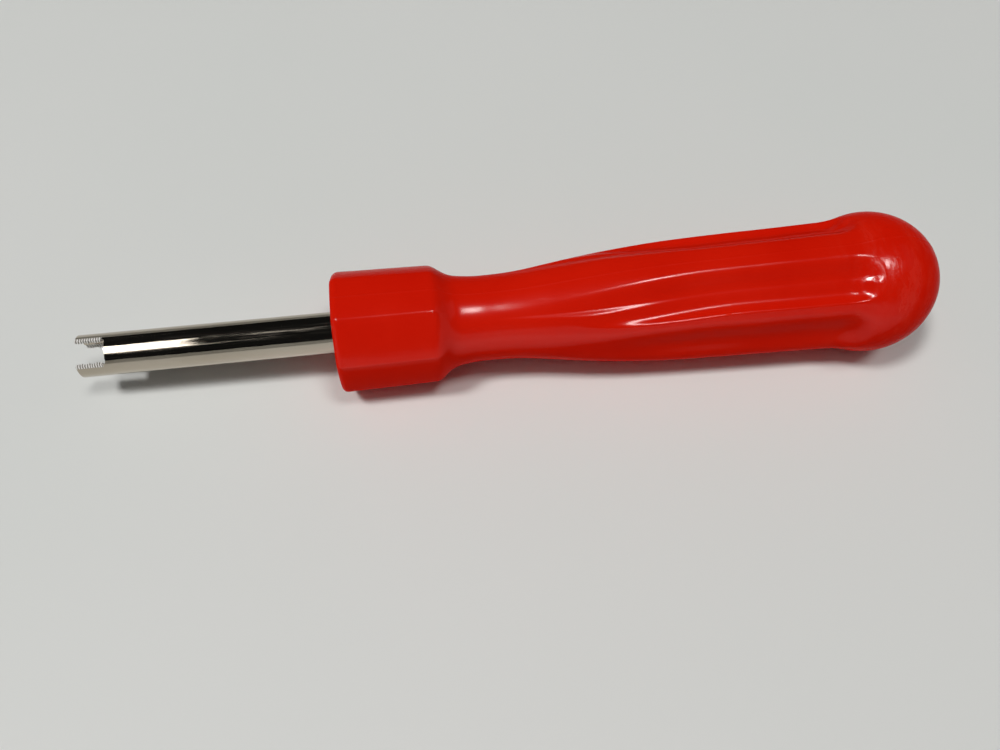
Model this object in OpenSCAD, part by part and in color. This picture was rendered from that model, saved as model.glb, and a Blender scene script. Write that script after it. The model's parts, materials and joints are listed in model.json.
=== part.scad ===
// Tyre valve core tool: a plated steel tube with a slotted tip, moulded into a fluted plastic handle.
// Millimetres. The tool's axis is X: the slotted tip points to -X and the handle's domed head to +X.
// The origin is on the axis, where the tube leaves the collar's front face. +Z is up when the tool
// lies on a facet of its collar. A roll is an angle about X, from +Z towards -Y.

/* [Shaft] */
// Outside diameter of the tube, which passes into the mouth of a tyre valve
shaft_d = 5; // [4:0.1:7]
// Wall thickness of the tube
shaft_wall = 0.7; // [0.5:0.05:1]
// Length of tube that stands out of the handle
shaft_out = 29.6; // [15:0.5:60]
// Length of tube buried in the handle, up to the end of its flattened tail
shaft_in = 27; // [20:0.5:32]
// Length of the buried tail that is pressed flat, so that it can't turn in the plastic
tail_flat = 5; // [3:0.5:8]
// Length over which the round tube becomes flat
tail_ramp = 6; // [4:0.5:8]
// Width of the groove round the tube, just inside the handle, that the plastic keys into
key_w = 1.2; // [0.8:0.1:3]
// Depth of that groove
key_depth = 0.25; // [0.2:0.01:0.35]
// Gap between the tube and the plastic moulded round it
mould_gap = 0; // [0:0.01:0.05]

/* [Driving slot] */
// Width of the slot across the tip, which straddles the flats of a valve core
slot_w = 3; // [2:0.1:3.5]
// Depth of the slot from the tip
slot_depth = 3.4; // [1.5:0.1:6]
// Radius left in the two root corners of the slot
slot_root_r = 0.35; // [0.1:0.05:0.8]
// Roll of the slot's cutting direction
slot_roll = 25; // [0:1:180]
// Chamfer on the outer edge of the tip
tip_chamfer = 0.12; // [0.05:0.01:0.3]

/* [Collar] */
// Width across the collar's flats at its front face
collar_flats = 14.5; // [14:0.1:20]
// Length of the collar, to the start of its cone
collar_len = 11.8; // [8:0.1:20]
// Number of flats
collar_sides = 8; // [6:2:12]
// Draft of the flats, which lets the moulding leave its tool
collar_draft = 1; // [0:0.25:3]
// Radius of the collar's front edge
collar_front_r = 0.4; // [0.3:0.1:1.5]
// How much the long corners between the flats are rounded off
corner_ease = 0.16; // [0.05:0.01:0.3]

/* [Neck and grip] */
// Whole length of the handle
handle_len = 76.9; // [65:0.5:110]
// Plastic around the tube at the neck
neck_wall = 2.65; // [2.3:0.05:3]
// Length of the neck between the ends of its two cones
neck_len = 7; // [5:0.5:10]
// Angle of the cone that opens from the neck to the grip
swell_angle = 8.5; // [7:0.5:12]
// Diameter over the lands of the grip, at the middle of the head
grip_d = 16.7; // [15:0.1:20]
// Taper of the grip's lands towards the neck, each side
grip_taper = 1.6; // [0:0.1:2.5]
// Height of the head above the grip's lands
head_rise = 0.7; // [0.3:0.05:2]

/* [Flutes] */
// Distance from the tool's axis to the axis of the turned cutter that scoops a flute
flute_axis = 12.5; // [11:0.1:16]
// Depth of a flute below the lands
flute_depth = 1.1; // [0.4:0.05:1.4]
// Roll from one flute to the next on each side of the parting plane
flute_pitch = 56; // [50:1:60]
// Distance from the neck's end to the place where the flutes reach full depth
flute_lead = 13; // [10:0.1:15]
// Distance from the middle of the head back to the end of the flutes' full depth
flute_tail = 6; // [4:0.1:10]

/* [Hidden] */
$fn = 96;

// Tube and its flattened tail: the tube's girth stays the same when it is pressed flat.
tube_r = shaft_d / 2;
bore_r = tube_r - shaft_wall;
tail_r = (PI * (shaft_d - shaft_wall) / 2 + shaft_wall) / 2;
ramp_end = shaft_in - tail_flat;
ramp_start = ramp_end - tail_ramp;
clear = 1;

// Handle outline: radii and places along X.
half_side = 180 / collar_sides;
corner_front = collar_flats / 2 / cos(half_side) - corner_ease;
corner_back = corner_front - collar_len * tan(collar_draft);
neck_r = tube_r + neck_wall;
neck_x = collar_len + corner_back - neck_r;
swell_x = neck_x + neck_len;
grip_r = grip_d / 2;
head_r = grip_r + head_rise;
head_x = handle_len - head_r;
grip_x = (grip_r - head_x * tan(grip_taper) - neck_r + swell_x * tan(swell_angle))
    / (tan(swell_angle) - tan(grip_taper));
collar_back_r = 1;
neck_back_r = 3.9;
neck_swell_r = 19;
swell_grip_r = 125;
head_fillet_r = 8;
arc_steps = 5;
dome_steps = 16;

// Points of an arc of radius r about c, from angle a to angle b in n steps; first = 1 leaves out point a.
function arc(c, r, a, b, n, first = 0) =
    [for (i = [first:n]) let (t = a + (b - a) * i / n) c + r * [cos(t), sin(t)]];

// Corner b of the path a, b, c, rounded to radius r, or to what its two sides leave room for.
function bend(a, b, c, r, n = arc_steps) =
    let (
        u = (a - b) / norm(a - b),
        v = (c - b) / norm(c - b),
        half = acos(u * v) / 2,
        reach = min(r / tan(half), 0.48 * min(norm(a - b), norm(c - b))),
        turn = cross(v, u) > 0 ? 1 : -1,
        centre = b + (u + v) / norm(u + v) * reach / cos(half),
        from = b + u * reach - centre,
        start = atan2(from.y, from.x)
    )
    arc(centre, reach * tan(half), start, start + turn * (180 - 2 * half), n);

// Grip line at x, and the round fillet that joins it to the head's sphere.
function grip_line(x) = grip_r - (head_x - x) * tan(grip_taper);
head_drop = grip_r * cos(grip_taper);
fillet_back = sqrt((head_r + head_fillet_r) ^ 2 - (head_fillet_r + head_drop) ^ 2);
fillet_c = [head_x, 0]
    + (head_drop + head_fillet_r) * [-sin(grip_taper), cos(grip_taper)]
    - fillet_back * [cos(grip_taper), sin(grip_taper)];
fillet_turn = atan2(fillet_c.y, head_x - fillet_c.x);

// Outline of the turned handle, [x, r], from the front face round to the end of the head.
face_in = [0, 0];
face_edge = [0, corner_front];
cone_start = [collar_len, corner_back];
neck_start = [neck_x, neck_r];
neck_end = [swell_x, neck_r];
grip_start = [grip_x, grip_line(grip_x)];
grip_end = [fillet_c.x, grip_line(fillet_c.x)];
grip_outline = concat(
    bend(cone_start, neck_start, neck_end, neck_back_r),
    bend(neck_start, neck_end, grip_start, neck_swell_r),
    bend(neck_end, grip_start, grip_end, swell_grip_r, 2 * arc_steps),
    arc(fillet_c, head_fillet_r, 270 + grip_taper, 360 - fillet_turn, arc_steps),
    arc([head_x, 0], head_r, 180 - fillet_turn, 0, dome_steps, 1)
);
outline = concat(
    [face_in],
    bend(face_in, face_edge, cone_start, collar_front_r),
    bend(face_edge, cone_start, neck_start, collar_back_r),
    grip_outline
);

// Flutes: the cutter's outline, [x, radius], follows the lands, runs out gently towards the neck and
// curls in at the head. Its x is measured from flute_back, where its axis starts to lean in.
flute_lean = 3;
flute_back = head_x - flute_tail;
flute_run = flute_back - swell_x - flute_lead;
flute_steps = 6;
flute_front_r = 30;
flute_front_turn = 22;
flute_back_r = 4;
function cutter_r(x) =
    flute_axis + flute_depth + x * tan(flute_lean) - lookup(flute_back + x, grip_outline);
flute_front_c = [-flute_run, cutter_r(-flute_run) - flute_front_r];
flute_outline = concat(
    arc(flute_front_c, flute_front_r, 90 + flute_front_turn, 90, arc_steps),
    [for (i = [1:flute_steps - 1]) let (x = (i / flute_steps - 1) * flute_run) [x, cutter_r(x)]],
    arc([0, cutter_r(0) - flute_back_r], flute_back_r, 90, 0, arc_steps)
);
flute_rolls = [for (side = [-90, 90], k = [-1:1]) side + k * flute_pitch];

// Turns a shape made about Z into one about X, with its base at x = 0.
module along_x() {
    rotate([0, 90, 0]) children();
}

// Rolls a shape about the tool's axis, from +Z towards -Y.
module roll(angle) {
    rotate([angle, 0, 0]) children();
}

// Round outside of the tube and its wider tail, or of the room inside it when shrunk by a wall.
// key is the depth of the groove just inside the handle.
module tube_round(grow, from, to, key = 0) {
    along_x() rotate_extrude() polygon([
        [0, from],
        [tube_r + grow, from],
        if (key > 0) each [
            [tube_r + grow, 0],
            [tube_r + grow - key, 0],
            [tube_r + grow - key, key_w],
            [tube_r + grow, key_w]
        ],
        [tube_r + grow, ramp_start],
        [tail_r + grow, ramp_end],
        [tail_r + grow, to],
        [0, to]
    ]);
}

// Side view that presses the tail down to a half thickness, extruded across the tool.
module press(half, from, to) {
    wide = tail_r + clear;
    ramp_x = ramp_end - (wide - half) * tail_ramp / tube_r;
    rotate([90, 0, 0]) linear_extrude(2 * wide, center = true) polygon([
        [from, -wide],
        [ramp_x, -wide],
        [ramp_end, -half],
        [to, -half],
        [to, half],
        [ramp_end, half],
        [ramp_x, wide],
        [from, wide]
    ]);
}

// Outside of the shaft: also the shape that it leaves in the plastic.
module shaft_form(grow = 0) {
    intersection() {
        tube_round(grow, -shaft_out, shaft_in + grow, key_depth);
        press(shaft_wall + grow, -shaft_out - clear, shaft_in + clear);
    }
}

// Bore of the tube, which closes to an edge where the tail is pressed flat.
module bore() {
    wide = tail_r + clear;
    ramp_x = ramp_end - wide * tail_ramp / tube_r;
    intersection() {
        tube_round(-shaft_wall, -shaft_out - clear, ramp_end + clear);
        rotate([90, 0, 0]) linear_extrude(2 * wide, center = true) polygon([
            [-shaft_out - 2 * clear, -wide],
            [ramp_x, -wide],
            [ramp_end, 0],
            [ramp_x, wide],
            [-shaft_out - 2 * clear, wide]
        ]);
    }
}

// Slot sawn right across the tip, with small radii in its root corners.
module drive_slot() {
    root = slot_depth - shaft_out;
    half = slot_w / 2;
    mouth = -shaft_out - clear;
    outline = concat(
        [[mouth, half], [mouth, -half]],
        bend([mouth, -half], [root, -half], [root, half], slot_root_r),
        bend([root, -half], [root, half], [mouth, half], slot_root_r)
    );
    roll(slot_roll) linear_extrude(shaft_d + 2 * clear, center = true) polygon(outline);
}

// Ring that chamfers the outer edge of the tip.
module tip_edge() {
    translate([-shaft_out, 0, 0]) along_x() rotate_extrude() polygon([
        [tube_r - tip_chamfer, 0],
        [tube_r + clear, -clear - tip_chamfer],
        [tube_r + clear, tip_chamfer],
        [tube_r, tip_chamfer]
    ]);
}

// One flat of the collar, cut from the top side, with the rounded front edge of the face.
module collar_flat() {
    top = collar_flats / 2;
    back = collar_len + corner_back;
    high = corner_front + clear;
    edge = bend([0, 0], [0, top], [back, top - back * tan(collar_draft)], collar_front_r);
    rotate([90, 0, 0]) linear_extrude(2 * high, center = true) polygon(concat(
        [[-clear, high], [-clear, 0], [0, 0]],
        edge,
        [[back, top - back * tan(collar_draft)], [back, high]]
    ));
}

// Cutter of one flute, lying above the grip.
module flute() {
    lean_in = [0, -flute_lean, 0];
    translate([flute_back, 0, flute_axis]) rotate(lean_in) along_x() rotate_extrude() polygon(concat(
        [[0, flute_outline[0].x]],
        [for (p = flute_outline) [p.y, p.x]],
        [[0, flute_back_r]]
    ));
}

// Children with the first so many flutes scooped out, one cut after another.
module scooped(count) {
    if (count == 0) children();
    else difference() {
        scooped(count - 1) children();
        roll(flute_rolls[count - 1]) flute();
    }
}

// Turned body of the handle, before its flats and flutes.
module turned() {
    along_x() rotate_extrude() polygon([for (p = outline) [p.y, p.x]]);
}

// Handle: the turned body with its flutes, its flats and the place of the shaft taken out.
module handle() {
    color([0.80, 0.09, 0.03]) difference() {
        scooped(len(flute_rolls)) turned();
        for (i = [0:collar_sides - 1]) roll(i * 360 / collar_sides) collar_flat();
        shaft_form(mould_gap);
    }
}

// Shaft: one tube with a slotted tip and a flattened tail.
module shaft() {
    color([0.78, 0.77, 0.74]) difference() {
        shaft_form();
        bore();
        drive_slot();
        tip_edge();
    }
}

handle();
shaft();
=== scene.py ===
"""Visual model of a tyre valve core tool: a fluted red handle moulded round a slotted, plated steel tube.

Lengths in the shape code are millimetres in the CAD's frame; mesh_object() turns them into metres.
Angles are degrees. A roll is an angle about X from +Z towards -Y, as in the CAD.
"""
import json
import math

import bmesh
import bpy
import numpy as np
from mathutils import Matrix, Vector


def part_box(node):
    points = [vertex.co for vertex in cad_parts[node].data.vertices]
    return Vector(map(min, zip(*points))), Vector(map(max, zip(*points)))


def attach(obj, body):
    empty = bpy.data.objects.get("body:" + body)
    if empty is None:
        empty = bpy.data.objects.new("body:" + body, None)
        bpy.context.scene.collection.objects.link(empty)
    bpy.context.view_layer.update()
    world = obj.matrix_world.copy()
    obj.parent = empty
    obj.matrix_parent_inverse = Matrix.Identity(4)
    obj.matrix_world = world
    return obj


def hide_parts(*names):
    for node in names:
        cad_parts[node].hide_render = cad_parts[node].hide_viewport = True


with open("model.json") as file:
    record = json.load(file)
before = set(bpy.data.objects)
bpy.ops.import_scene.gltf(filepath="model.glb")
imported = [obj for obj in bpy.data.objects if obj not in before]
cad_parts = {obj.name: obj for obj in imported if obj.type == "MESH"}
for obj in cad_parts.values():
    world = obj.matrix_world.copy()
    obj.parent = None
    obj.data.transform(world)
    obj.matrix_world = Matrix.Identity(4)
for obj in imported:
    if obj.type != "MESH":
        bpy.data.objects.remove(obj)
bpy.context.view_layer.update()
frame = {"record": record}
MM = 0.001

# ---------------------------------------------------------------- sizes
handle_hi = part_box("handle")[1] / MM
shaft_lo, shaft_hi = (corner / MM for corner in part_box("shaft"))
mounts = {m["name"]: m for m in frame["record"]["mounts"]}

# Tube
TUBE_R = mounts["shaft"]["dims"]["r_mm"]
BORE_R = mounts["core_bore"]["dims"]["r_mm"]
WALL = TUBE_R - BORE_R
TIP, TAIL = shaft_lo.x, shaft_hi.x
TAIL_FLAT, TAIL_RAMP = 5.0, 6.0
RAMP_END = TAIL - TAIL_FLAT
RAMP_START = RAMP_END - TAIL_RAMP
TAIL_R = (math.pi * (TUBE_R + BORE_R) / 2 + WALL) / 2
KEY_W, KEY_DEPTH = 1.2, 0.25
SLOT_W, SLOT_DEPTH, SLOT_ROOT_R, SLOT_ROLL = 3.0, 3.4, 0.35, 25.0
TIP_CHAMFER, SAW_PITCH = 0.12, 0.27

# Collar, neck, grip and head of the handle
FLATS, SIDES, COLLAR_LEN, DRAFT, FLATS_ROLL = 14.5, 8, 11.8, 1.0, 1.0
FRONT_R, CORNER_EASE, FLATS_BLEND = 0.8, 0.16, 1.2
HANDLE_LEN, NECK_WALL, NECK_LEN = handle_hi.x, 2.65, 7.0
SWELL_ANGLE, GRIP_TAPER = 8.5, 1.6
HEAD_RISE, HEAD_FILLET_R = 0.7, 13.0
HEAD_R = handle_hi.z
GRIP_R = HEAD_R - HEAD_RISE
NECK_LEAD = 0.5  # how far before the neck the 45 degree cone behind the collar ends
WAIST_RUN, WAIST_RISE = 2.6, 0.1  # from the neck's start
FLARE_RUN, FLARE_RISE = 0.9, 0.2  # from the swell's start
BEND_RADII = (1.0, 3.9, 18.0, 40.0, 125.0)  # at the outline's corners, from the collar's back to the grip

# Flutes: one in the middle of each side of the grip, and a diagonal one above and below it
FLUTE_DEPTH, FLUTE_PITCH, FLUTE_ROLL, FLUTE_TAIL, FLUTE_BACK_R = 1.1, 54.8, -1.75, 6.0, 4.0
SIDE_HALF, DIAGONAL_HALF = 23.0, 17.5  # half widths
RUN_START, RUN_END, RUN_LIFT = -10.0, 24.0, 2.7  # the run-out, from swell_x, and how high it climbs
SPREAD_START, SPREAD_END = 6.0, 28.0  # from swell_x, where the diagonal flutes drift to their place
SPREAD_TURN, SPREAD_WIDEN = 7.0, 3.0
SIDE_POWER, SOFT_POWER, WALL_POWER = 2.0, 2.5, 5.0  # how flat a scoop's floor is and how steep its wall
EDGE_BLEND, SOFT_BLEND, SOFT_TURN = 0.35, 1.1, 4.0
FLUTE_SPAN, NO_FLUTE = 60.0, 99.0  # reach in roll, and the radius that stands for no flute

PARTING_ROLLS, PARTING_RISE, PARTING_W = (0, 180), 0.035, 0.13


def tan(a):
    return math.tan(math.radians(a))


def sin(a):
    return np.sin(np.radians(a))


def cos(a):
    return np.cos(np.radians(a))


def turned(a):
    """Angle a brought between -180 and 180."""
    return (a + 180) % 360 - 180


def rise(x, lo, hi):
    """0 below lo, 1 above hi, and smooth between."""
    t = np.clip((x - lo) / (hi - lo), 0, 1)
    return t * t * (3 - 2 * t)


def smooth_min(a, b, k):
    h = np.clip(0.5 + 0.5 * (b - a) / k, 0, 1)
    return b + (a - b) * h - k * h * (1 - h)


# ---------------------------------------------------------------- handle's surface
def arc(c, r, a, b, n=20):
    t = np.linspace(a, b, n + 1)
    return np.c_[c[0] + r * cos(t), c[1] + r * sin(t)]


def bend(a, b, c, r):
    """Corner b of the path a, b, c rounded to radius r, or to what its two sides leave room for."""
    a, b, c = (np.array(p, float) for p in (a, b, c))
    u, v = (a - b) / np.linalg.norm(a - b), (c - b) / np.linalg.norm(c - b)
    half = math.degrees(math.acos(u @ v)) / 2
    reach = min(r / tan(half), 0.48 * min(np.linalg.norm(a - b), np.linalg.norm(c - b)))
    turn = 1 if v[0] * u[1] - v[1] * u[0] > 0 else -1
    centre = b + (u + v) / np.linalg.norm(u + v) * reach / cos(half)
    start = math.degrees(math.atan2(*(b + u * reach - centre)[::-1]))
    return arc(centre, reach * tan(half), start, start + turn * (180 - 2 * half))


def grip_line(x):
    return GRIP_R - (head_x - x) * tan(GRIP_TAPER)


corner_front = FLATS / 2 / cos(180 / SIDES) - CORNER_EASE
corner_back = corner_front - COLLAR_LEN * tan(DRAFT)
neck_r = TUBE_R + NECK_WALL
neck_x = COLLAR_LEN + corner_back - neck_r
swell_x = neck_x + NECK_LEN
head_x = HANDLE_LEN - HEAD_R
grip_x = (GRIP_R - head_x * tan(GRIP_TAPER) - neck_r + swell_x * tan(SWELL_ANGLE)) / (
    tan(SWELL_ANGLE) - tan(GRIP_TAPER))
flute_back = head_x - FLUTE_TAIL

# Fillet between the grip and the head's sphere
drop = GRIP_R * cos(GRIP_TAPER) + HEAD_FILLET_R
back = math.sqrt((HEAD_R + HEAD_FILLET_R) ** 2 - drop ** 2)
fillet_c = np.array([head_x - drop * sin(GRIP_TAPER) - back * cos(GRIP_TAPER),
                     drop * cos(GRIP_TAPER) - back * sin(GRIP_TAPER)])
fillet_turn = math.degrees(math.atan2(fillet_c[1], head_x - fillet_c[0]))

# Outline of the turned handle, [x, r], from the front face to the head's middle
path = [
    (0, corner_front),
    (COLLAR_LEN, corner_back),
    (neck_x - NECK_LEAD, neck_r + NECK_LEAD),
    (neck_x + WAIST_RUN, neck_r + WAIST_RISE),
    (swell_x + FLARE_RUN, neck_r + FLARE_RISE),
    (grip_x, grip_line(grip_x)),
    (fillet_c[0], grip_line(fillet_c[0])),
]
outline = np.vstack(
    [[path[0]]]
    + [bend(*path[i:i + 3], r) for i, r in enumerate(BEND_RADII)]
    + [arc(fillet_c, HEAD_FILLET_R, 270 + GRIP_TAPER, 360 - fillet_turn),
       arc((head_x, 0), HEAD_R, 180 - fillet_turn, 90)[1:]]
)


def body_r(x):
    """Radius of the turned handle; beyond the head's middle, that of the head's sphere."""
    dome = np.sqrt(np.maximum(HEAD_R ** 2 - np.maximum(x - head_x, 0) ** 2, 0))
    return np.where(x > head_x, dome, np.interp(x, outline[:, 0], outline[:, 1]))


def flute_r(x, z, side, k):
    """Radius of flute k of a side at x and roll z, and how soft its edge is there.

    The scoop runs out gently into the neck and curls up at the head. A diagonal one starts beside the middle
    one, so that the land between them starts as a point; its edge beside the widest land is rounder.
    """
    mid = np.minimum(x, flute_back)
    spread = 1 - rise(x, swell_x + SPREAD_START, swell_x + SPREAD_END)
    centre = side + FLUTE_ROLL + k * (FLUTE_PITCH - SPREAD_TURN * spread)
    half = DIAGONAL_HALF + SPREAD_WIDEN * spread if k else SIDE_HALF
    off = turned(z - centre)
    depth = FLUTE_DEPTH - RUN_LIFT * (1 - rise(x, swell_x + RUN_START, swell_x + RUN_END))
    curl = FLUTE_BACK_R - np.sqrt(np.maximum(FLUTE_BACK_R ** 2 - (x - mid) ** 2, 0))
    power = np.where(off * k < 0, WALL_POWER, SOFT_POWER if k else SIDE_POWER)
    scoop = body_r(mid) - depth + curl + FLUTE_DEPTH * np.abs(off / half) ** power
    soft = EDGE_BLEND + SOFT_BLEND * rise(off * k, -SOFT_TURN, SOFT_TURN)
    return np.where((x - mid < FLUTE_BACK_R) & (np.abs(off) < FLUTE_SPAN), scoop, NO_FLUTE), soft


def waviness(x, z):
    """The uneven shrinkage of a thick moulding."""
    return 0.016 * np.sin(0.33 * x + 1.3) * sin(2 * z + 40) + 0.012 * np.sin(0.71 * x + 0.4) * sin(3 * z + 10)


def handle_r(x, z):
    """Radius of the handle's surface at x and roll z, with its flats, flutes, parting line and waviness."""
    ease = np.clip(FRONT_R - x, 0, FRONT_R)
    inset = FRONT_R - np.sqrt(FRONT_R ** 2 - ease ** 2)
    r = body_r(x) - inset
    step = 360 / SIDES
    off = (z - FLATS_ROLL + step / 2) % step - step / 2
    flat = (FLATS / 2 - x * tan(DRAFT) - inset) / cos(off)
    r = np.where(x < neck_x + 1, smooth_min(r, flat, FLATS_BLEND), r)
    for side in (-90, 90):
        for k in (-1, 0, 1):
            r = smooth_min(r, *flute_r(x, z, side, k))
    fade = np.clip(r / 3, 0, 1)  # brings the detail to nothing at the end of the head
    detail = waviness(x, z)
    for line in PARTING_ROLLS:
        gap = np.radians(turned(z - line)) * r
        detail = detail + PARTING_RISE * np.exp(-(gap / PARTING_W) ** 2)
    return r + detail * fade


# ---------------------------------------------------------------- tube's surface
def tube_r(x, z, grow=0.0):
    """Radius of the tube's outside at x and roll z; grow is added to it, and is minus the wall for the bore."""
    ramp = np.clip((x - RAMP_END + TAIL_RAMP) / TAIL_RAMP, 0, 1)
    r = TUBE_R + (TAIL_R - TUBE_R) * ramp + grow
    half = WALL + grow + np.maximum(RAMP_END - x, 0) * TUBE_R / TAIL_RAMP
    return np.minimum(r, half / np.maximum(np.abs(cos(z)), 1e-6))


def key_r(x, z, grow=0.0):
    """The same, with the groove just inside the handle."""
    return tube_r(x, z, grow) - np.where((x > 0) & (x < KEY_W), KEY_DEPTH, 0)


# ---------------------------------------------------------------- meshes
def mesh_object(name, verts, faces, smooth_angle, materials, indices=None):
    bm = bmesh.new()
    made = [bm.verts.new(Vector(v) * MM) for v in verts]
    for n, f in enumerate(faces):
        face = bm.faces.new([made[i] for i in f])
        face.material_index = indices[n] if indices else 0
    bmesh.ops.recalc_face_normals(bm, faces=bm.faces)
    mesh = bpy.data.meshes.new(name)
    bm.to_mesh(mesh)
    bm.free()
    mesh.polygons.foreach_set("use_smooth", [True] * len(mesh.polygons))
    mesh.set_sharp_from_angle(angle=math.radians(smooth_angle))
    for m in materials:
        mesh.materials.append(m)
    obj = bpy.data.objects.new(name, mesh)
    bpy.context.collection.objects.link(obj)
    return obj


def rings_to_faces(rings, columns, first, last):
    """Quads between rings of columns, with a fan at each end to the vertices first and last."""
    faces = []
    for j in range(columns):
        k = (j + 1) % columns
        faces.append((first, j, k))
        for i in range(rings - 1):
            faces.append((i * columns + j, i * columns + k, (i + 1) * columns + k, (i + 1) * columns + j))
        faces.append(((rings - 1) * columns + k, (rings - 1) * columns + j, last))
    return faces


def make_handle(material):
    """The moulding: from the closed end of its socket out to the front face, and back over the outside."""
    fine = [0, 0.35, 0.7, 1.05, 1.5, 2.1]  # rolls either side of a parting line
    near = sorted({s * a for s in (-1, 1) for a in fine})
    rolls = [line + a for line in PARTING_ROLLS for a in near]
    rolls += [line + a for line in PARTING_ROLLS for a in np.arange(3, 177.5, 1.0)]
    z = np.sort(np.array(rolls) % 360)
    n = len(z)
    rings = []

    socket = [TAIL, *np.arange(RAMP_END, RAMP_START - 0.1, -0.5), 8, KEY_W + 0.02, KEY_W - 0.02, 0.12]
    for x in socket:
        rings.append((np.full(n, x), key_r(x, z, 0.01)))

    # Lip of flash where the plastic met the tube, [x, height over the tube], then the dished face
    lip = ((-0.03, 0.01), (-0.11, 0.07), (-0.13, 0.18), (-0.07, 0.32), (0.0, 0.42))
    wobble = 1 + 0.35 * sin(z * 2 + 30) * sin(z * 5)
    for x, over in lip:
        rings.append((np.full(n, x) * wobble, np.full(n, TUBE_R + over)))
    edge = handle_r(np.zeros(n), z)
    for f in np.linspace(0.12, 0.94, 9):
        rings.append((np.full(n, 0.05 * math.sin(math.pi * f)), (TUBE_R + lip[-1][1]) * (1 - f) + edge * f))

    along = np.concatenate([
        FRONT_R * (1 - cos(np.linspace(0, 90, 10)))[:-1],
        np.arange(FRONT_R, head_x, 0.3),
        head_x + HEAD_R * sin(np.linspace(0, 90, 40)[1:-1]),
    ])
    for x in along:
        rings.append((np.full(n, x), handle_r(np.full(n, x), z)))

    verts = np.vstack([np.c_[x, -r * sin(z), r * cos(z)] for x, r in rings])
    ends = [[TAIL + 0.01, 0, 0], [HANDLE_LEN, 0, 0]]
    faces = rings_to_faces(len(rings), n, len(verts), len(verts) + 1)
    return mesh_object("handle_body", np.vstack([verts, ends]), faces, 40, [material])


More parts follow.
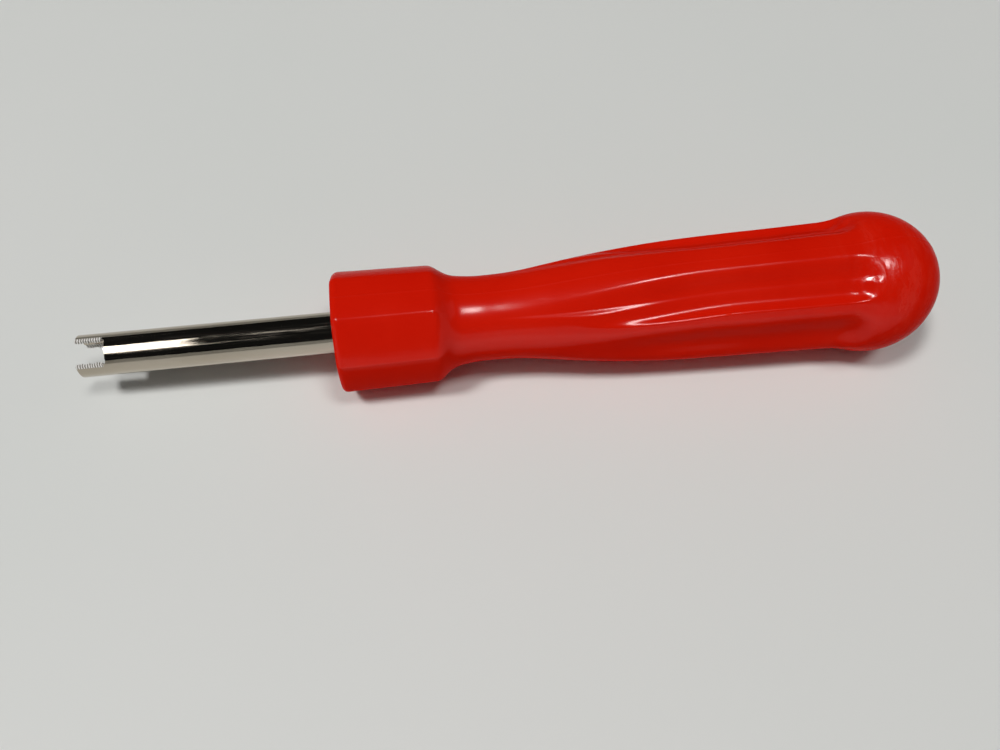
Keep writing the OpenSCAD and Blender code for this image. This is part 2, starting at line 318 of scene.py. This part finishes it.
def make_tube(plated, sawn):
    """The tube: two prongs beside the slot, then the whole tube outside and in, to its closed tail."""
    half, root = SLOT_W / 2, TIP + SLOT_DEPTH
    per_gap, per_prong, layers = 32, 44, 7  # columns in a gap and a prong, and layers through the wall
    half_turn = per_gap + per_prong
    columns = 2 * half_turn
    burred = 3  # columns beside the slot that the saw's burr covers
    burrs = (0.12, 0.42, 0.45, 0.36, 0.26, 0.16, 0.1, 0.05)  # its reach into the slot, from outside to inside
    step = 0.06
    cut_x = root - SLOT_ROOT_R
    tip_rings = [TIP, TIP + TIP_CHAMFER, *np.arange(TIP + TIP_CHAMFER + step, cut_x - step / 2, step), cut_x]
    cut = len(tip_rings) - 1  # the ring that the slot's root is on
    chatter = np.random.default_rng(11).uniform(0.5, 1.0, 64)

    def angle(c, r):
        """Angle of column c from the slot's direction, at radius r."""
        b = math.degrees(math.asin(min(half / r, 1)))
        side, c = divmod(c % columns, half_turn)
        a = -b + 2 * b * c / per_gap if c < per_gap else b + (180 - 2 * b) * (c - per_gap) / per_prong
        return 180 * side + a

    def place(x, u, v, burr=0):
        """Point at u along the slot's direction and v across it; burr is how far a bead stands in there."""
        if burr:
            bead = abs(math.sin(math.pi * (x - TIP) / SAW_PITCH)) * chatter[int((x - TIP) / SAW_PITCH) % 64]
            v -= math.copysign(burr * (0.3 + 0.7 * bead), v)
        turn = math.radians(SLOT_ROLL)
        return (x, -u * math.sin(turn) + v * math.cos(turn), u * math.cos(turn) + v * math.sin(turn))

    def root_x(v):
        over = max(abs(v) - (half - SLOT_ROOT_R), 0)
        return cut_x + math.sqrt(max(SLOT_ROOT_R ** 2 - over ** 2, 0))

    verts, index = [], {}
    faces, mats = [], []

    def vert(i, c, k):
        """Vertex of tip ring i, column c and layer k through the wall, from outside to inside."""
        c %= columns
        if (i, c, k) in index:
            return index[i, c, k]
        outer = TUBE_R - (TIP_CHAMFER if i == 0 else 0)
        (u0, v0), (u1, v1) = (
            (r * math.cos(math.radians(angle(c, r))), r * math.sin(math.radians(angle(c, r))))
            for r in (outer, BORE_R))
        f = k / layers
        u, v = u0 + (u1 - u0) * f, v0 + (v1 - v0) * f
        x = tip_rings[i]
        edge = c % half_turn in (0, per_gap)
        if i == cut and c % half_turn <= per_gap:
            x = root_x(v) + (0 if edge else 0.025 * math.sin(7 * u + 3 * v) * math.sin(9 * v))
        verts.append(place(x, u, v, burrs[k] if edge and 0 < i < cut else 0))
        index[i, c, k] = len(verts) - 1
        return index[i, c, k]

    def add(mat, *corners):
        faces.append(corners)
        mats.append(mat)

    for c in range(columns):
        at = c % half_turn
        if at >= per_gap:
            rough = not per_gap + burred <= at < half_turn - burred
            for i in range(cut):
                for k in (0, layers):
                    mat = 1 if k == 0 and rough else 0
                    add(mat, vert(i, c, k), vert(i, c + 1, k), vert(i + 1, c + 1, k), vert(i + 1, c, k))
        ring = 0 if at >= per_gap else cut  # the prong's end face or the slot's root
        for k in range(layers):
            add(1, vert(ring, c, k), vert(ring, c + 1, k), vert(ring, c + 1, k + 1), vert(ring, c, k + 1))
        if at in (0, per_gap):
            for i in range(cut):
                for k in range(layers):
                    add(1, vert(i, c, k), vert(i, c, k + 1), vert(i + 1, c, k + 1), vert(i + 1, c, k))

    ramp = list(np.arange(RAMP_START, RAMP_END + 0.1, 0.5))
    outside = [*np.arange(root + 0.15, -0.2, 0.3), 0, 0.01, KEY_W - 0.01, KEY_W, 8, *ramp, TAIL]
    inside = [*np.arange(root + 0.3, 15, 1.0), *np.arange(RAMP_START, RAMP_END - 0.1, 0.5)]
    for k, grow, radius, places in ((0, 0.0, key_r, outside), (layers, -WALL, tube_r, inside)):
        last = [vert(cut, c, k) for c in range(columns)]
        for x in places:
            ring = []
            for c in range(columns):
                a = angle(c, TUBE_R if k == 0 else BORE_R)
                r = float(radius(x, SLOT_ROLL - a, grow))
                verts.append(place(x, r * math.cos(math.radians(a)), r * math.sin(math.radians(a))))
                ring.append(len(verts) - 1)
            for c in range(columns):
                d = (c + 1) % columns
                add(0, last[c], last[d], ring[d], ring[c])
            last = ring
        verts.append((places[-1] + 0.01, 0, 0))
        for c in range(columns):
            add(0, last[c], last[(c + 1) % columns], len(verts) - 1)
    return mesh_object("slotted_tube", verts, faces, 30, [plated, sawn], mats)


# ---------------------------------------------------------------- materials
def material(name):
    m = bpy.data.materials.new(name)
    m.use_nodes = True
    tree = m.node_tree
    tree.nodes.clear()
    out = tree.nodes.new("ShaderNodeOutputMaterial")
    shader = tree.nodes.new("ShaderNodeBsdfPrincipled")
    tree.links.new(shader.outputs[0], out.inputs["Surface"])
    return m, tree, shader


def feed(tree, socket, value):
    """Links a socket to the value where that is a socket, and sets it otherwise."""
    if isinstance(value, bpy.types.NodeSocket):
        tree.links.new(value, socket)
    else:
        socket.default_value = value


def node(tree, kind, inputs=None, **props):
    n = tree.nodes.new("ShaderNode" + kind)
    for k, v in props.items():
        setattr(n, k, v)
    for k, v in (inputs or {}).items():
        feed(tree, n.inputs[k], v)
    return n


def noise(tree, scale, detail, roughness, stretch=(1, 1, 1)):
    """Noise in object space; scale is in features a metre."""
    where = node(tree, "TexCoord").outputs["Object"]
    place = node(tree, "Mapping", {"Vector": where, "Scale": stretch}).outputs[0]
    inputs = {"Vector": place, "Scale": scale, "Detail": detail, "Roughness": roughness}
    return node(tree, "TexNoise", inputs).outputs["Fac"]


def object_x(tree):
    where = node(tree, "TexCoord").outputs["Object"]
    return node(tree, "SeparateXYZ", {"Vector": where}).outputs[0]


def band(tree, value, lo, hi, to_lo=0.0, to_hi=1.0):
    """value from lo..hi mapped to to_lo..to_hi, and held outside."""
    inputs = {"Value": value, "From Min": lo, "From Max": hi, "To Min": to_lo, "To Max": to_hi}
    return node(tree, "MapRange", inputs).outputs[0]


def math_node(tree, op, a, b=0.0):
    return node(tree, "Math", {0: a, 1: b}, operation=op).outputs[0]


def add_up(tree, first, *scaled):
    """first plus each (value, factor) of scaled."""
    for value, factor in scaled:
        first = math_node(tree, "ADD", first, math_node(tree, "MULTIPLY", value, factor))
    return first


def mix_color(tree, factor, a, b):
    a, b = ((*v, 1) if isinstance(v, tuple) else v for v in (a, b))
    return node(tree, "Mix", {0: factor, 6: a, 7: b}, data_type="RGBA").outputs[2]


def bump(tree, shader, height, strength, distance):
    n = node(tree, "Bump", {"Height": height, "Strength": strength, "Distance": distance})
    tree.links.new(n.outputs[0], shader.inputs["Normal"])


def red_plastic():
    """Glossy red moulding with faint drag lines, rubbed dull on the head."""
    m, tree, shader = material("red_plastic")
    cloud = noise(tree, 70, 4.0, 0.6)
    grain = noise(tree, 900, 5.0, 0.7)
    lines = band(tree, noise(tree, 900, 3.0, 0.6, (0.06, 1, 1)), 0.60, 0.70)
    scuff = noise(tree, 420, 6.0, 0.75, (1, 0.25, 0.6))
    head = band(tree, object_x(tree), 0.058, 0.068)
    rubbed = math_node(tree, "MULTIPLY", head, band(tree, scuff, 0.48, 0.68))
    red = mix_color(tree, band(tree, cloud, 0.3, 0.7), (0.66, 0.008, 0.001), (0.72, 0.011, 0.002))
    red = mix_color(tree, math_node(tree, "MULTIPLY", rubbed, 0.3), red, (0.76, 0.04, 0.02))
    feed(tree, shader.inputs["Base Color"], red)
    rough = add_up(tree, band(tree, cloud, 0.3, 0.7, 0.14, 0.2), (rubbed, 0.25), (lines, 0.06))
    feed(tree, shader.inputs["Roughness"], rough)
    height = add_up(tree, math_node(tree, "MULTIPLY", grain, 0.25), (lines, -0.1), (rubbed, -2.2))
    bump(tree, shader, height, 0.35, 0.00003)
    shader.inputs["IOR"].default_value = 1.47
    facing = node(tree, "LayerWeight", {"Blend": 0.5}).outputs["Facing"]
    feed(tree, shader.inputs["Specular IOR Level"], band(tree, facing, 0.1, 0.4, 0.5, 0.005))
    return m


def plated_steel():
    """Bright nickel over drawn steel, with streaks along the tube and fine pits."""
    m, tree, shader = material("nickel_plate")
    cloud = noise(tree, 160, 4.0, 0.6, (0.3, 1, 1))
    drawn = noise(tree, 2600, 4.0, 0.7, (0.03, 1, 1))
    pits = noise(tree, 1800, 4.0, 0.7)
    tone = mix_color(tree, band(tree, cloud, 0.35, 0.65), (0.50, 0.44, 0.36), (0.58, 0.52, 0.44))
    feed(tree, shader.inputs["Base Color"], tone)
    dull = band(tree, drawn, 0.45, 0.7, 0, 0.2)
    rough = math_node(tree, "ADD", band(tree, cloud, 0.3, 0.7, 0.03, 0.06), dull)
    feed(tree, shader.inputs["Roughness"], rough)
    bump(tree, shader, add_up(tree, math_node(tree, "MULTIPLY", drawn, 0.7), (pits, 0.25)), 0.25, 0.00002)
    shader.inputs["Metallic"].default_value = 1.0
    return m


def sawn_steel():
    """The saw's cut, banded bright and dark at the pitch of its teeth: the bright bands are painted highlights
    and the dark bands painted shade of its chatter beads.
    """
    m, tree, shader = material("sawn_steel")
    blot = noise(tree, 2200, 3.0, 0.6)
    teeth = math_node(tree, "MULTIPLY", object_x(tree), 2 * math.pi / (SAW_PITCH * MM))
    # Painted light: a sine along X at the saw's pitch; its crests are painted highlights and its troughs
    # painted shade on the cut.
    painted_bead_light = math_node(tree, "SINE", add_up(tree, teeth, (blot, 5.0)))
    tone = mix_color(tree, band(tree, painted_bead_light, -0.7, 0.3), (0.22, 0.19, 0.16), (0.95, 0.93, 0.90))
    feed(tree, shader.inputs["Base Color"], tone)
    feed(tree, shader.inputs["Roughness"], band(tree, blot, 0.3, 0.7, 0.3, 0.55))
    bump(tree, shader, blot, 0.6, 0.00005)
    shader.inputs["Metallic"].default_value = 0.15
    return m


def pale_desk():
    m, tree, shader = material("pale_desk")
    cloud = noise(tree, 9, 3.0, 0.5)
    tone = mix_color(tree, band(tree, cloud, 0.3, 0.7), (0.765, 0.785, 0.765), (0.795, 0.80, 0.785))
    feed(tree, shader.inputs["Base Color"], tone)
    bump(tree, shader, noise(tree, 1400, 3.0, 0.6), 0.15, 0.00005)
    shader.inputs["Roughness"].default_value = 0.55
    shader.inputs["Specular IOR Level"].default_value = 0.3
    return m


# ---------------------------------------------------------------- camera, floor and lamps
def make_camera():
    """Camera above and in front of the tool, tip to the left."""
    azimuth, elevation, roll = -12.478, 59.457, 4.856
    # The tool's origin from the camera, in mm: right, down, forward
    origin = Vector((-19.807, -5.217, 94.743))
    forward = Vector((-sin(azimuth) * cos(elevation), cos(azimuth) * cos(elevation), -sin(elevation)))
    level = Vector((cos(azimuth), sin(azimuth), 0))
    steep = forward.cross(level)
    right = cos(roll) * level - sin(roll) * steep
    down = sin(roll) * level + cos(roll) * steep
    place = -(origin.x * right + origin.y * down + origin.z * forward)
    data = bpy.data.cameras.new("camera")
    data.sensor_width = 36
    data.lens = 28.08
    data.clip_start, data.clip_end = 0.005, 5
    cam = bpy.data.objects.new("camera", data)
    turn = Matrix((right, -down, -forward)).transposed()
    cam.matrix_world = Matrix.Translation(place * MM) @ turn.to_4x4()
    bpy.context.collection.objects.link(cam)
    bpy.context.scene.camera = cam


def resting_plane(points):
    """Slope and height of the line that touches the tool from below at its collar and at its head."""
    lo, hi = -0.1, 0.1
    for _ in range(50):
        slope = (lo + hi) / 2
        low = np.argmin(points[:, 2] - slope * points[:, 0])
        if points[low, 0] > HANDLE_LEN / 2 * MM:
            hi = slope
        else:
            lo = slope
    return slope, float(np.min(points[:, 2] - slope * points[:, 0]))


def make_floor(handle):
    """Round pale desk with a rim that curves up far away, at the slope that the tool rests at."""
    co = np.empty(len(handle.data.vertices) * 3)
    handle.data.vertices.foreach_get("co", co)
    slope, height = resting_plane(co.reshape(-1, 3))
    flat, rim, top, columns = 2.2, 0.5, 0.9, 96
    rings = [(r, 0.0) for r in (0.1, 0.3, 0.6, 1.0, 1.5, 2.0)]
    rings += [(flat + rim * sin(a), rim * (1 - cos(a))) for a in np.linspace(0, 90, 16)] + [(flat + rim, top)]
    bm = bmesh.new()
    middle = bm.verts.new((0, 0, 0))
    last = None
    for r, z in rings:
        ring = [bm.verts.new((r * cos(a), r * sin(a), z)) for a in np.arange(columns) * 360 / columns]
        for j in range(columns):
            k = (j + 1) % columns
            bm.faces.new((middle, ring[j], ring[k]) if last is None else (last[j], ring[j], ring[k], last[k]))
        last = ring
    mesh = bpy.data.meshes.new("floor")
    bm.to_mesh(mesh)
    bm.free()
    mesh.polygons.foreach_set("use_smooth", [True] * len(mesh.polygons))
    mesh.materials.append(pale_desk())
    floor = bpy.data.objects.new("floor", mesh)
    floor.location = (0, 0, height)
    floor.rotation_euler = (0, -math.atan(slope), 0)
    bpy.context.collection.objects.link(floor)


def area_light(name, place, target_x, size, power, color):
    """Rectangular lamp turned to (target_x, 0, 0), with its first side along X."""
    data = bpy.data.lights.new(name, "AREA")
    data.shape = "RECTANGLE"
    data.size, data.size_y = size
    data.energy = power
    data.color = color
    lamp = bpy.data.objects.new(name, data)
    lamp.location = place
    back = (Vector(place) - Vector((target_x, 0, 0))).normalized()
    up = back.cross(Vector((1, 0, 0))).normalized()
    lamp.rotation_euler = Matrix((up.cross(back), up, back)).transposed().to_euler()
    bpy.context.collection.objects.link(lamp)


def make_lights():
    world = bpy.data.worlds.new("studio")
    world.use_nodes = True
    world.node_tree.nodes["Background"].inputs["Color"].default_value = (0.9, 0.95, 1.0, 1)
    world.node_tree.nodes["Background"].inputs["Strength"].default_value = 0.01
    bpy.context.scene.world = world
    white, cool = (1.0, 0.995, 0.98), (0.97, 0.99, 1.0)
    area_light("ceiling_panel", (0.46, -0.37, 2.0), 0.02, (0.42, 0.42), 10.5, white)
    area_light("window_strip", (-0.74, -0.42, 2.0), -0.02, (0.30, 1.4), 5, white)
    area_light("key_lamp", (-0.92, -0.25, 2.0), 0.0, (0.34, 0.34), 21.5, white)
    for side in (-1, 1):
        area_light(f"side_fill_{side}", (2.2 * side, 0.1, 1.6), 0.02, (1.5, 1.5), 1.2, cool)


make_camera()
handle = make_handle(red_plastic())
tube = make_tube(plated_steel(), sawn_steel())
for piece, name in ((handle, "handle"), (tube, "shaft")):
    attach(piece, "root")
    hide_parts(name)
make_floor(handle)
make_lights()
bpy.context.scene.view_settings.view_transform = "Standard"
